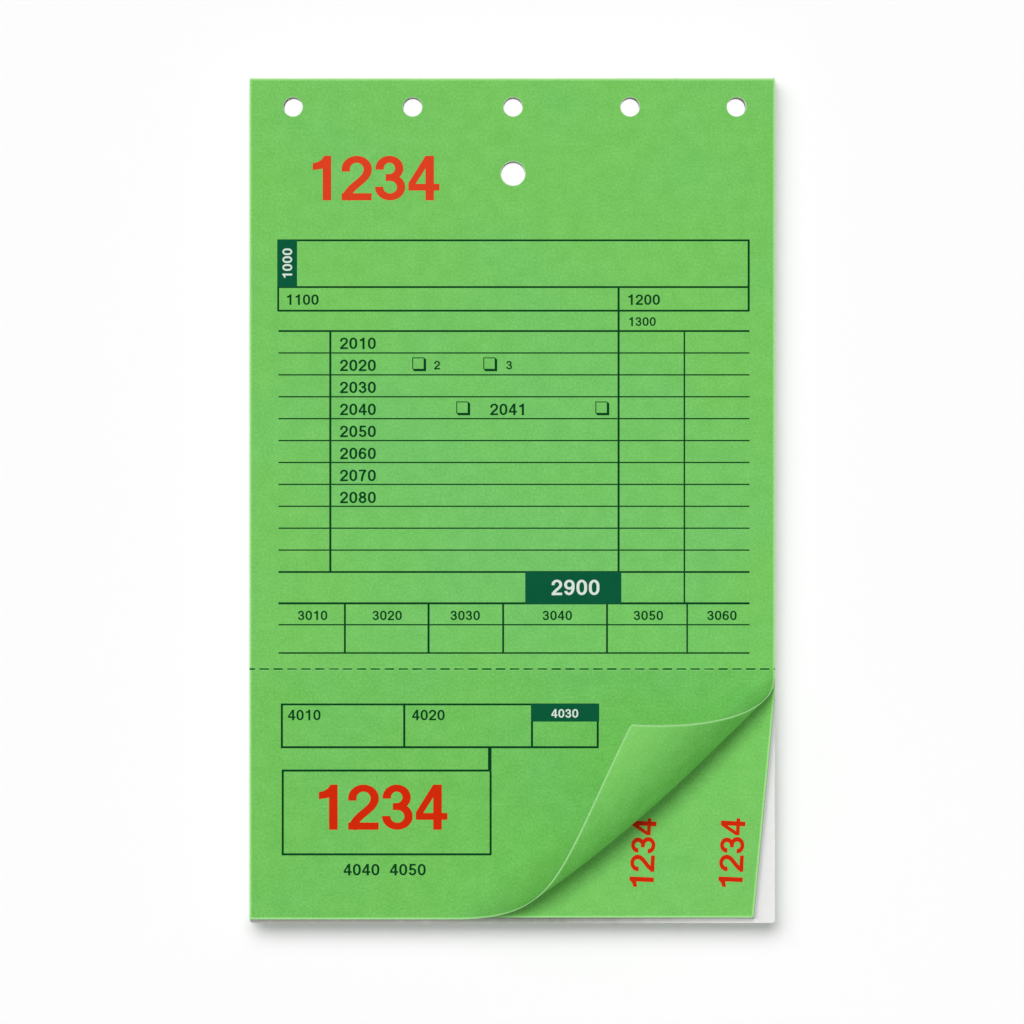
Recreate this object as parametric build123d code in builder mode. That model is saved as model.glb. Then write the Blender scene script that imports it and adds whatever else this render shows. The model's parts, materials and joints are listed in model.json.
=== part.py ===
"""A pad of two-part receipt sets, gummed along its head.

Each set is a numbered customer copy lying on a tag copy. A loose white card, the writing shield,
lies under the first set, and a stiff board backs the pad. The first customer copy is shown with
its tear-off claim stub as a piece of its own, whose lower right corner is rolled up and over.

X runs across the pad, Y towards the gummed head and Z up from the underside of the board.
The origin is under the middle of the pad. All sizes are in millimetres.
"""

import os
from math import cos, exp, radians, sin, tan

from build123d import *

# Leaves
sheet_width = 127.0
sheet_length = 203.2
sheet_corner_radius = 0.5
customer_copy_thickness = 0.10
tag_copy_thickness = 0.15
leaf_gap = 0.05
set_count = 10

# Tear line across each customer copy, measured from the foot of the sheet
stub_length = 60.5
slit_length = 2.13
slit_width = 0.25
slit_pitch = 3.36
slit_offset = -2.82

# Tag copies end a little short of the foot, and their right edge has a slanted trim
tag_foot_inset = 0.4
trim_length = 54.6
trim_depth = 5.2

# Punched holes, measured from the head and from the middle of the sheet
file_hole_diameter = 4.65
file_hole_inset = 6.82
outer_hole_left = 53.0
inner_hole_left = 24.1
middle_hole_offset = 0.2
inner_hole_right = 28.5
outer_hole_right = 54.2
hang_hole_diameter = 5.9
hang_hole_inset = 22.93

# Writing shield, backing board and gum
shield_thickness = 0.40
shield_overhang = 0.9
card_corner_radius = 0.9
board_thickness = 1.0
gum_thickness = 0.25
gum_edge_radius = 0.1

# Rolled corner of the first claim stub: the roll's radius and turn change along its fold line,
# and the fold starts sharper at the right, where the paper is creased beside the tear line
curl_start = 0.55
curl_fold_angle = 36.2
curl_radius_right = 9.9
curl_radius_middle = 13.3
curl_radius_foot = 8.0
curl_turn_right = 117.0
curl_turn_foot = 163.0
curl_easing = 35.0
crease_sharpness = 5.0
crease_length = 2.0
curl_tip_width = 0.6
curl_sections = 15
curl_steps = 240

# Places across the pad
half_width = sheet_width / 2
head_y = (sheet_length + shield_overhang - gum_thickness) / 2
foot_y = head_y - sheet_length
tag_foot_y = foot_y + tag_foot_inset
tear_y = foot_y + stub_length
slit_count = 2 * round(half_width / slit_pitch) + 1
hole_y = head_y - file_hole_inset
file_hole_places = [
    (-outer_hole_left, hole_y),
    (-inner_hole_left, hole_y),
    (middle_hole_offset, hole_y),
    (inner_hole_right, hole_y),
    (outer_hole_right, hole_y),
]
hang_hole_place = (middle_hole_offset, head_y - hang_hole_inset)

# Heights up the pad
set_height = customer_copy_thickness + tag_copy_thickness + 2 * leaf_gap
shield_z = board_thickness + (set_count - 1) * set_height + leaf_gap
first_set_z = shield_z + shield_thickness
pad_height = first_set_z + set_height


def tag_copy_z(number):
    """Height of the underside of a set's tag copy. Set 1 is on top."""
    if number == 1:
        return first_set_z + leaf_gap
    return board_thickness + (set_count - number) * set_height + leaf_gap


def customer_copy_z(number):
    """Height of the underside of a set's customer copy."""
    return tag_copy_z(number) + tag_copy_thickness + leaf_gap


def punch_holes():
    """Punch the row of file holes and the hang hole through the sheet being drawn."""
    with Locations(*file_hole_places):
        Circle(file_hole_diameter / 2, mode=Mode.SUBTRACT)
    with Locations(hang_hole_place):
        Circle(hang_hole_diameter / 2, mode=Mode.SUBTRACT)


def cut_tear_line():
    """Cut the row of perforation slits through the sheet being drawn."""
    with Locations((slit_offset, tear_y)):
        with GridLocations(slit_pitch, slit_pitch, slit_count, 1):
            Rectangle(slit_length, slit_width, mode=Mode.SUBTRACT)


os.makedirs("parts", exist_ok=True)

# Stiff board that backs the pad
with BuildPart() as backing_board:
    with BuildSketch() as board_outline:
        with Locations((0, (head_y + foot_y) / 2)):
            Rectangle(sheet_width, sheet_length)
        fillet(board_outline.vertices().group_by(Axis.Y)[0], card_corner_radius)
        punch_holes()
    extrude(amount=board_thickness)
backing_board.part.label = "backing_board"
export_step(backing_board.part, "parts/backing_board.step")

# Film of gum that holds the head edges together
with BuildPart() as padding_gum:
    with BuildSketch():
        with Locations((0, head_y)):
            Rectangle(sheet_width, gum_thickness, align=(Align.CENTER, Align.MIN))
    extrude(amount=pad_height)
    fillet(padding_gum.faces().sort_by(Axis.Y)[-1].edges().filter_by(Axis.X), gum_edge_radius)
padding_gum.part.label = "padding_gum"
export_step(padding_gum.part, "parts/padding_gum.step")

# Loose card that keeps writing from going through to the next set
with BuildPart() as writing_shield:
    with BuildSketch(Plane.XY.offset(shield_z)) as shield_outline:
        with Locations((0, head_y)):
            Rectangle(sheet_width, sheet_length + shield_overhang, align=(Align.CENTER, Align.MAX))
        fillet(shield_outline.vertices(), card_corner_radius)
        punch_holes()
    extrude(amount=shield_thickness)
writing_shield.part.label = "writing_shield"
export_step(writing_shield.part, "parts/writing_shield.step")

# Tag copies, the lower leaf of every set
for number in range(1, set_count + 1):
    with BuildPart() as tag_copy:
        with BuildSketch(Plane.XY.offset(tag_copy_z(number))) as tag_outline:
            with BuildLine():
                Polyline(
                    (-half_width, head_y),
                    (half_width, head_y),
                    (half_width, tag_foot_y + trim_length),
                    (half_width - trim_depth, tag_foot_y),
                    (-half_width, tag_foot_y),
                    close=True,
                )
            make_face()
            fillet(tag_outline.vertices().group_by(Axis.Y)[0], sheet_corner_radius)
            fillet(tag_outline.vertices().group_by(Axis.Y)[-1], sheet_corner_radius)
            punch_holes()
        extrude(amount=tag_copy_thickness)
    tag_copy.part.label = f"tag_copy_{number:02d}"
    export_step(tag_copy.part, f"parts/tag_copy_{number:02d}.step")

# Customer copies under the first set, each whole with its tear line
for number in range(2, set_count + 1):
    with BuildPart() as customer_copy:
        with BuildSketch(Plane.XY.offset(customer_copy_z(number))) as copy_outline:
            with Locations((0, (head_y + foot_y) / 2)):
                Rectangle(sheet_width, sheet_length)
            fillet(copy_outline.vertices(), sheet_corner_radius)
            punch_holes()
            cut_tear_line()
        extrude(amount=customer_copy_thickness)
    customer_copy.part.label = f"customer_copy_{number:02d}"
    export_step(customer_copy.part, f"parts/customer_copy_{number:02d}.step")

# First customer copy, from the head down to its tear line
top_leaf_z = customer_copy_z(1)
with BuildPart() as first_copy:
    with BuildSketch(Plane.XY.offset(top_leaf_z)) as first_outline:
        with Locations((0, (head_y + tear_y) / 2)):
            Rectangle(sheet_width, sheet_length - stub_length)
        fillet(first_outline.vertices().group_by(Axis.Y)[-1], sheet_corner_radius)
        punch_holes()
        cut_tear_line()
    extrude(amount=customer_copy_thickness)
first_copy.part.label = "customer_copy_01"
export_step(first_copy.part, "parts/customer_copy_01.step")

# The paper of the stub rolls over a fold line that climbs from the foot edge to the right edge.
# Distances along the paper are measured square to that line, out towards the corner, and shares
# of the fold line from its right end to its foot end.
fold_slope = radians(curl_fold_angle)
fold_right_y = tear_y - curl_start
fold_foot_x = half_width - (fold_right_y - foot_y) / tan(fold_slope)
fold_length = (fold_right_y - foot_y) / sin(fold_slope)
fold_start = Vector(half_width, fold_right_y, top_leaf_z + customer_copy_thickness / 2)
fold_along = Vector(cos(fold_slope), sin(fold_slope), 0)
fold_out = Vector(sin(fold_slope), -cos(fold_slope), 0)
upward = Vector(0, 0, 1)
narrowing = tan(fold_slope) + 1 / tan(fold_slope)
tip_distance = (fold_length - curl_tip_width) / narrowing


def rolled_point(share, distance):
    """Place of a point of the rolled paper, found by walking over the roll from the fold line."""
    rest = 1 - share
    radius = curl_radius_right * rest**2 + 2 * curl_radius_middle * share * rest + curl_radius_foot * share**2
    last_turn = radians(curl_turn_right * rest + curl_turn_foot * share)
    step = distance / curl_steps
    turned = 0
    out = 0
    rise = 0
    for walked in range(curl_steps):
        crease = crease_sharpness * rest**2 * exp(-(walked + 1 / 2) * step / crease_length)
        easing = min((last_turn - turned) / radians(curl_easing), 1)
        bend = step * easing * (1 + crease) / radius
        out += step * cos(turned + bend / 2)
        rise += step * sin(turned + bend / 2)
        turned += bend
    return fold_start - fold_along * share * fold_length + fold_out * out + upward * rise


def paper_line(distance):
    """Both ends of a line across the rolled paper, on its right edge and on its foot edge."""
    right_share = distance * tan(fold_slope) / fold_length
    foot_share = 1 - distance / tan(fold_slope) / fold_length
    return rolled_point(right_share, distance), rolled_point(foot_share, distance)


def paper_section(distance):
    """Plane across the rolled paper, square to it, and the paper's width there."""
    right_end, foot_end = paper_line(distance)
    middle = (right_end + foot_end) / 2
    across = right_end - foot_end
    if distance == 0:
        ahead = fold_out
    else:
        before_right, before_foot = paper_line(distance - tip_distance / curl_steps)
        ahead = middle - (before_right + before_foot) / 2
    facing = across.cross(ahead).cross(across)
    return Plane(origin=middle, x_dir=across, z_dir=facing), across.length


# Claim stub of the first set, flat up to the fold line, then rolled over to its corner
with BuildPart() as claim_stub:
    with BuildSketch(Plane.XY.offset(top_leaf_z)) as stub_outline:
        with BuildLine():
            Polyline(
                (-half_width, tear_y),
                (half_width, tear_y),
                (half_width, fold_right_y),
                (fold_foot_x, foot_y),
                (-half_width, foot_y),
                close=True,
            )
        make_face()
        fillet(stub_outline.vertices().group_by(Axis.Y)[0].sort_by(Axis.X)[0], sheet_corner_radius)
        cut_tear_line()
    extrude(amount=customer_copy_thickness)
    for section in range(curl_sections):
        section_plane, section_width = paper_section(tip_distance * (section / (curl_sections - 1)) ** 2)
        with BuildSketch(section_plane):
            Rectangle(section_width, customer_copy_thickness)
    loft()
claim_stub.part.label = "claim_stub_01"
export_step(claim_stub.part, "parts/claim_stub_01.step")

flat_area = sheet_width * stub_length - slit_count * slit_length * slit_width / 2
print(f"pad height {pad_height:.2f}, curl tip {paper_section(tip_distance)[0].origin.Z:.1f} above the table")
print(f"claim stub volume {claim_stub.part.volume:.2f}, flat paper {flat_area * customer_copy_thickness:.2f}")
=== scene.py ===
"""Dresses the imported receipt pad: paper finishes, the rolled claim stub, the printed form with its
field numbers, the red serial numbers, and the stage that the pad is seen on.

X runs across the pad, Y towards its gummed head and Z up, all in metres. Places on the printed form
are in millimetres, across from the middle of the sheet and down from its head.
"""

import json
from math import ceil, cos, exp, pi, radians, sin, tan

import bpy
from mathutils import Matrix, Vector


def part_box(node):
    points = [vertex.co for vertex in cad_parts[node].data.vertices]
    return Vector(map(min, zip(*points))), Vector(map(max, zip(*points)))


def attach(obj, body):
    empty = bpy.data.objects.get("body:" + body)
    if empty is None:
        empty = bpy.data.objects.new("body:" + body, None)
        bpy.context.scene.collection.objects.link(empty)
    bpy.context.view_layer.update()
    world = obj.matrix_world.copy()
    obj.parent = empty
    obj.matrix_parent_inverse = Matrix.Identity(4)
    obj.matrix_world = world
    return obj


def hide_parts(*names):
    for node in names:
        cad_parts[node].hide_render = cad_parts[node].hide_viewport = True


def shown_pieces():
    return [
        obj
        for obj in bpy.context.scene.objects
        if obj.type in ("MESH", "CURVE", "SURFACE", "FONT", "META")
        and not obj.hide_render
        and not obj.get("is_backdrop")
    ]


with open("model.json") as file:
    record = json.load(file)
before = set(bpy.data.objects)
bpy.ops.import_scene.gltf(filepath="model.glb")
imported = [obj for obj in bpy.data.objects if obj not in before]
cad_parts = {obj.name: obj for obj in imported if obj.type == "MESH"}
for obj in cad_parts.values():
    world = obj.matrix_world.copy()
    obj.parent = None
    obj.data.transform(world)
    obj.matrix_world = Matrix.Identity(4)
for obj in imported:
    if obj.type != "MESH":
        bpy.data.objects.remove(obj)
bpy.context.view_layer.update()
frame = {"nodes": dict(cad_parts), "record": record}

bl_info = {
    "name": "Receipt pad dressing",
    "version": (1, 0, 0),
    "blender": (4, 5, 0),
    "location": "View3D > Sidebar > Receipt pad",
    "description": "Finishes, prints and stages a packed pad of two-part receipt sets",
    "category": "Object",
}

MM = 0.001

# The pad as it is packed
SHEET_LOW, SHEET_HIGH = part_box("customer_copy_02")
TOP_LOW, TOP_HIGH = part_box("customer_copy_01")
HALF_WIDTH = SHEET_HIGH.x
HEAD_Y = SHEET_HIGH.y
FOOT_Y = SHEET_LOW.y
TEAR_Y = TOP_LOW.y
TAG_FOOT_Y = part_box("tag_copy_02")[0].y
CARD_FOOT_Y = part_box("writing_shield")[0].y
PAPER_THICKNESS = TOP_HIGH.z - TOP_LOW.z
SET_COUNT = sum(name.startswith("tag_copy_") for name in frame["nodes"])
LOWER_SETS = range(2, SET_COUNT + 1)
# Punched holes: place across, place along, radius
PUNCHED_HOLES = [
    (*mount["pos_m"][:2], mount["dims"]["r_mm"] * MM)
    for mount in frame["record"]["mounts"]
    if mount["kind"] == "bore"
]
STUB_UV = "flat_paper"

# Points nearer than this are the same point
SAME_PLACE = 1e-7


def tint(red, green, blue):
    """Linear colour of a screen colour given from 0 to 255."""
    shares = [level / 255 for level in (red, green, blue)]
    return tuple(s / 12.92 if s <= 0.04045 else ((s + 0.055) / 1.055) ** 2.4 for s in shares)


def length_property(name, description, millimetres):
    unit = {"subtype": "DISTANCE", "unit": "LENGTH", "precision": 5}
    return bpy.props.FloatProperty(name=name, description=description, default=millimetres * MM, **unit)


def angle_property(name, description, degrees):
    unit = {"subtype": "ANGLE"}
    return bpy.props.FloatProperty(name=name, description=description, default=radians(degrees), **unit)


def share_property(name, description, value):
    return bpy.props.FloatProperty(name=name, description=description, default=value, min=0, subtype="FACTOR")


def colour_property(name, description, screen_colour):
    return bpy.props.FloatVectorProperty(
        name=name, description=description, default=tint(*screen_colour), subtype="COLOR", min=0, max=1
    )


# ---------------------------------------------------------------- settings


class PaperSettings(bpy.types.PropertyGroup):
    """Colours and cuts of the leaves, the cards and the gum."""

    copy_colour: colour_property("Copy paper", "Green of the customer copies", (114, 194, 88))
    copy_cloud_colour: colour_property("Copy cloud", "Bluer clouds in the copy paper", (111, 192, 99))
    # The first stub's green is a little darker than the copies' green
    stub_colour: colour_property("Stub", "Green of the first claim stub, a little dimmer", (109, 190, 85))
    stub_cloud_colour: colour_property("Stub cloud", "Bluer clouds in the first stub", (107, 189, 98))
    # Paler than the face: a painted highlight on the underside of the rolled stub
    back_highlight_colour: colour_property("Copy back", "Paler green of the underside of the copies", (131, 213, 103))
    back_highlight_cloud_colour: colour_property("Back cloud", "Bluer clouds on the underside", (128, 211, 111))
    # Painted shade along the bend of the rolled stub's underside
    bend_shade_colour: colour_property("Bend", "Deeper green of the underside along the bend", (78, 164, 57))
    tag_colour: colour_property("Tag stock", "Green of the tag copies", (117, 195, 93))
    tag_cloud_colour: colour_property("Tag cloud", "Bluer clouds in the tag stock", (115, 193, 99))
    # Also the paler rims along cut and punched edges and beside the slits: pale fibres and a painted
    # highlight
    fibres_and_highlight_colour: colour_property("Fibres", "Paler fibres in the paper and at its edges", (160, 228, 140))
    # Painted shadow of the closed perforation slits
    slit_shadow_colour: colour_property("Slit edge", "Shadowy, dark edge of the perforation slits", (8, 100, 34))
    cut_colour: colour_property("Cut edge", "Pale fibres on the cut edges of the leaves", (190, 226, 178))
    card_colour: colour_property("White card", "White of the writing shield", (241, 240, 240))
    felt_colour: colour_property("Felt mark", "Faint felt marks in the white card", (233, 233, 232))
    # Grey of the painted shadow that the leaves cast on the card's foot edge
    card_shadow_colour: colour_property("Darkened card", "Grey of the card's thumbed foot edge", (176, 175, 169))
    board_colour: colour_property("Grey board", "Grey of the backing board", (156, 151, 143))
    board_fleck_colour: colour_property("Board fleck", "Darker flecks in the backing board", (112, 105, 96))
    gum_colour: colour_property("Gum", "Milky dried padding gum", (226, 230, 220))
    pooled_gum_colour: colour_property("Pooled gum", "Greener gum where it is thick", (196, 211, 184))
    punched_colour: colour_property("Punched wall", "Pale torn fibres in the holes", (226, 228, 222))
    # The paler rims are part fibres, part painted highlight
    edge_width: length_property("Edge width", "Reach of the paler fibres from a cut edge", 0.62)
    punched_width: length_property("Punched width", "Reach of the paler fibres from a punched edge", 0.30)
    slit_length: length_property("Slit length", "Length of a perforation slit", 2.13)
    slit_width: length_property("Slit width", "Width of a perforation slit", 0.25)
    slit_pitch: length_property("Slit pitch", "Distance from slit to slit along the tear line", 3.36)
    slit_offset: length_property("Slit offset", "Middle of the row of slits, along X", -2.82)
    trim_length: length_property("Trim length", "Length of a tag copy's slanted trim", 54.6)
    trim_depth: length_property("Trim depth", "How far the slanted trim cuts in at the foot", 5.2)


class RollSettings(bpy.types.PropertyGroup):
    """Shape of the rolled corner of the first claim stub."""

    start: length_property("Start", "Distance from the tear line to the fold line at the right edge", 0.55)
    fold_angle: angle_property("Fold angle", "Slope of the fold line across the stub", 36.2)
    radius_right: length_property("Right radius", "Radius of the roll at the right end of the fold line", 9.9)
    radius_middle: length_property("Middle radius", "Radius that the roll swells towards in the middle", 13.3)
    radius_foot: length_property("Foot radius", "Radius of the roll at the foot end of the fold line", 8.0)
    turn_right: angle_property("Right turn", "How far the paper turns over at the right", 117.0)
    turn_foot: angle_property("Foot turn", "How far the paper turns over at the foot", 163.0)
    easing: angle_property("Easing", "Last part of the turn, over which the paper straightens", 35.0)
    crease_sharpness: share_property("Crease sharpness", "How much tighter the fold starts at the right", 5.0)
    crease_length: length_property("Crease length", "Distance over which the crease fades", 2.0)
    tip_width: length_property("Tip width", "Width of the blunt tip", 0.6)
    rings: bpy.props.IntProperty(name="Rings", description="Cuts along the fold line", default=64, min=8)
    ribs: bpy.props.IntProperty(name="Ribs", description="Cuts square to the fold line", default=44, min=8)


class PrintSettings(bpy.types.PropertyGroup):
    """Inks and numbers printed on the leaves."""

    line_colour: colour_property("Line ink", "Dark green of the rules and field numbers", (0, 58, 25))
    panel_colour: colour_property("Panel ink", "Dark green of the solid panels", (6, 82, 53))
    panel_number_colour: colour_property("Panel number", "Pale numbers on the solid panels", (214, 226, 216))
    head_number_colour: colour_property("Head number", "Red of the serial number on the form", (215, 61, 31))
    stub_number_colour: colour_property("Stub number", "Red of the number on stub and tags", (204, 38, 6))
    ink_height: length_property("Ink height", "How far the ink stands on the paper", 0.012)
    ink_depth: length_property("Ink depth", "How far the ink soaks into the paper", 0.020)
    first_number: bpy.props.IntProperty(
        name="First number", description="Serial number of the first set", default=1234, min=0, max=9000
    )


class StageSettings(bpy.types.PropertyGroup):
    """Camera, light and floor."""

    camera_height: length_property("Camera height", "Camera's height above the top sheet", 1100.0)
    view_width: length_property("View width", "Width that the picture takes in at the top sheet", 247.5)
    view_across: length_property("View across", "Middle of the picture, along X", -0.06)
    view_middle: length_property("View middle", "Middle of the picture, along Y", -2.83)
    floor_colour: colour_property("Floor", "Pale floor", (253, 253, 253))
    ambient: share_property("Ambient", "Share of the light that comes from all round", 0.10)
    dome_share: share_property("Dome light", "Share of the leaves' light from a wide lamp overhead", 0.10)
    fill_share: share_property("Fill light", "Share of the leaves' light that the roll doesn't shade", 0.15)
    stub_dome_share: share_property("Stub dome", "Share of the stub's light from a wide lamp overhead", 0.30)
    card_head_share: share_property("Card, head", "Share of the card's light that skims from the head", 0.30)
    card_side_share: share_property("Card, left", "Share of the card's light that skims from the left", 0.35)
    floor_head_share: share_property("Floor, head", "Share of the floor's light from beyond the head", 0.31)
    floor_corner_share: share_property("Floor, corner", "Share of the floor's light from the corner", 0.32)


class ReceiptPadSettings(bpy.types.PropertyGroup):
    """All settings of the dressed pad."""

    paper: bpy.props.PointerProperty(type=PaperSettings, name="Paper", description="Leaves, cards and gum")
    roll: bpy.props.PointerProperty(type=RollSettings, name="Roll", description="Rolled corner of the stub")
    ink: bpy.props.PointerProperty(type=PrintSettings, name="Print", description="Inks and numbers")
    stage: bpy.props.PointerProperty(type=StageSettings, name="Stage", description="Camera, light and floor")


# ---------------------------------------------------------------- shader maths


class Wire:
    """A value in a node tree, so that shader maths is written as plain expressions."""

    def __init__(self, tree, socket=None):
        self.tree = tree
        self.socket = socket

    def node(self, kind, settings=None, sockets=None, output=0):
        """Add a node, set it up, fill or link its sockets and give one of its outputs."""
        made = self.tree.nodes.new("ShaderNode" + kind)
        for name, value in (settings or {}).items():
            setattr(made, name, value)
        for key, value in (sockets or {}).items():
            if isinstance(value, Wire):
                self.tree.links.new(value.socket, made.inputs[key])
            else:
                made.inputs[key].default_value = value
        return Wire(self.tree, made.outputs[output])

    def twin(self, output):
        """Another output of the node that this value comes from."""
        return Wire(self.tree, self.socket.node.outputs[output])

    def maths(self, operation, *values):
        return self.node("Math", {"operation": operation}, dict(enumerate(values)))

    def __add__(self, other):
        return self.maths("ADD", self, other)

    __radd__ = __add__

    def __sub__(self, other):
        return self.maths("SUBTRACT", self, other)

    def __rsub__(self, other):
        return self.maths("SUBTRACT", other, self)

    def __mul__(self, other):
        return self.maths("MULTIPLY", self, other)

    __rmul__ = __mul__

    def __abs__(self):
        return self.maths("ABSOLUTE", self)

    def least(self, other):
        return self.maths("MINIMUM", self, other)

    def most(self, other):
        return self.maths("MAXIMUM", self, other)

    def clamped(self):
        return self.least(1.0).most(0.0)

    def vector(self, operation, other, output="Vector"):
        return self.node("VectorMath", {"operation": operation}, {0: self, 1: other}, output)

    def show(self, kind="Material"):
        """Make this shader the surface of its tree."""
        output = self.tree.nodes.new("ShaderNodeOutput" + kind)
        self.tree.links.new(self.socket, output.inputs["Surface"])

    def fall(self, start, end):
        """1 up to start, easing to 0 at end."""
        sockets = {"Value": self, "From Min": start, "From Max": end, "To Min": 1.0, "To Max": 0.0}
        return self.node("MapRange", {"interpolation_type": "SMOOTHSTEP"}, sockets)


def mixed(share, first, second):
    """Blend of two colours, from the first at share 0 to the second at 1."""
    colours = [c if isinstance(c, Wire) else (*c, 1.0) for c in (first, second)]
    settings = {"data_type": "RGBA"}
    return share.node("Mix", settings, {0: share, 6: colours[0], 7: colours[1]}, output=2)


def scaled(colour, factor):
    """A colour made lighter or darker."""
    return colour.node("VectorMath", {"operation": "SCALE"}, {0: colour, "Scale": factor})


def noise(place, size, detail=2.0, stretch=None):
    """Soft noise around 0 whose patches are about the given size across."""
    if stretch:
        place = place.node("Mapping", {}, {"Vector": place, "Scale": stretch})
    sockets = {"Vector": place, "Scale": 1 / size, "Detail": detail, "Roughness": 0.55}
    return place.node("TexNoise", {"noise_dimensions": "3D"}, sockets) - 0.5


def stripes(place, pitch):
    """Waves up the pad, one to each pitch."""
    height = place.node("SeparateXYZ", {}, {0: place}).twin(2)
    return height.maths("SINE", height * (2 * pi / pitch))


def new_finish(name, uv_map=None):
    """A new material, and the place on its piece or on the piece's flat paper."""
    material = bpy.data.materials.new(name)
    material.use_nodes = True
    material.node_tree.nodes.clear()
    wire = Wire(material.node_tree)
    if uv_map:
        return material, wire.node("UVMap", {"uv_map": uv_map})
    return material, wire.node("TexCoord", output="Object")


def surface(colour, roughness, height, relief, strength=0.3, specular=0.06):
    """Finish a material from its colour, its roughness and its height, whose relief is a length."""
    bump = {"Height": height, "Distance": relief, "Strength": strength}
    normal = colour.node("Bump", {}, bump, output="Normal")
    sockets = {"Base Color": colour, "Roughness": roughness, "Normal": normal, "Specular IOR Level": specular}
    colour.node("BsdfPrincipled", {}, sockets).show()


# ---------------------------------------------------------------- finishes

# Paper: the size of its marks, and how strongly they show
CLOUD_SIZE, CLOUD_SHARE = 34 * MM, 2.2
FORMATION_SIZE, FORMATION_SHARE = 4.5 * MM, 0.6
GRAIN_SIZE, GRAIN_SHARE = 0.55 * MM, 1.2
FIBRE_SIZE, FIBRE_STRETCH, FIBRE_SHADE = 1.2 * MM, 0.16, 0.04
PALE_SHARE, PALE_BASE, MOTTLE_SHADE = 0.46, 0.08, 0.16
PAPER_ROUGHNESS, ROUGHER_FORMATION, RAISED_FIBRES, PAPER_RELIEF = 0.80, 0.2, 0.6, 0.03 * MM
# Reach of its tints, from where they are full to where they end, and how strongly they show
MIDDLE_REACH, MIDDLE_SHARE, BLUE_BASE = (10 * MM, 85 * MM), 0.7, 0.2
# Painted shade along the stub's bend: full up to the first length, gone at the second
BEND_REACH = (14 * MM, 48 * MM)
WALL_REACH = (0.02 * MM, 0.05 * MM)
# Rims along cut and punched edges: pale fibres and a painted highlight
RIM_START, CUT_RIM_SHARE, PUNCHED_RIM_SHARE = 0.4, 0.9, 0.4
SLIT_END_REACH = 0.15 * MM
# Paler burr beside the slits: pale fibres and a painted highlight
BURR_REACH, BURR_SHARE = (0.24 * MM, 0.42 * MM), 0.35
# Painted shadow in the slits: its reach, the size of its patches, how much they vary, and its strength
SLIT_SHADOW_REACH, SLIT_SHADOW_SIZE, SLIT_SHADOW_SPREAD, SLIT_SHADOW_SHARE = (0.05 * MM, 0.16 * MM), 5 * MM, 1.1, 0.92

# White card, with a painted shadow reaching up from its foot and across from its middle
FELT_SIZE, CARD_GRAIN_SIZE, CARD_GRAIN_SHADE = 2.5 * MM, 0.4 * MM, 0.03
SHADOW_UP, SHADOW_ACROSS = (1.2 * MM, 2.6 * MM), (0.0, 62 * MM)
CARD_ROUGHNESS, ROUGHER_FELT, CARD_RELIEF = 0.80, 0.15, 0.02 * MM
MATT_SPECULAR = 0.02

# Grey board
FLECK_SIZE, FLECK_SHARE, FLECK_BASE = 1.1 * MM, 1.8, 0.42
LONG_FLECK_SIZE, LONG_FLECK_STRETCH, LONG_FLECK_SHARE = 2.0 * MM, 0.25, 1.2
LAYER_PITCH, LAYER_SHARE = 0.25 * MM, 0.12
BOARD_ROUGHNESS, ROUGHER_FLECKS, COARSE_RELIEF, COARSE_STRENGTH = 0.88, 0.1, 0.05 * MM, 0.5

# Gum
BRUSH_SIZE, BRUSH_STRETCH = 1.0 * MM, 0.05
POOL_SIZE, POOL_SHARE, POOL_BASE = 6.0 * MM, 1.4, 0.4
LEAF_PITCH, LEAF_SHARE, LEAF_RELIEF = 0.175 * MM, 0.08, 0.15
GUM_ROUGHNESS, ROUGHER_BRUSHING, GUM_SPECULAR = 0.34, 0.2, 0.5

# Inks, and the share by which each one's strength varies
STARVED_SIZE, UNEVEN_SIZE = 0.35 * MM, 5.0 * MM
INK_ROUGHNESS, ROUGHER_STARVED, INK_RELIEF, INK_STRENGTH = 0.62, 0.2, 0.01 * MM, 0.2
LINE_SPREAD, PANEL_SPREAD, PALE_SPREAD, RED_SPREAD = 0.35, 0.22, 0.05, 0.10


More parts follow.
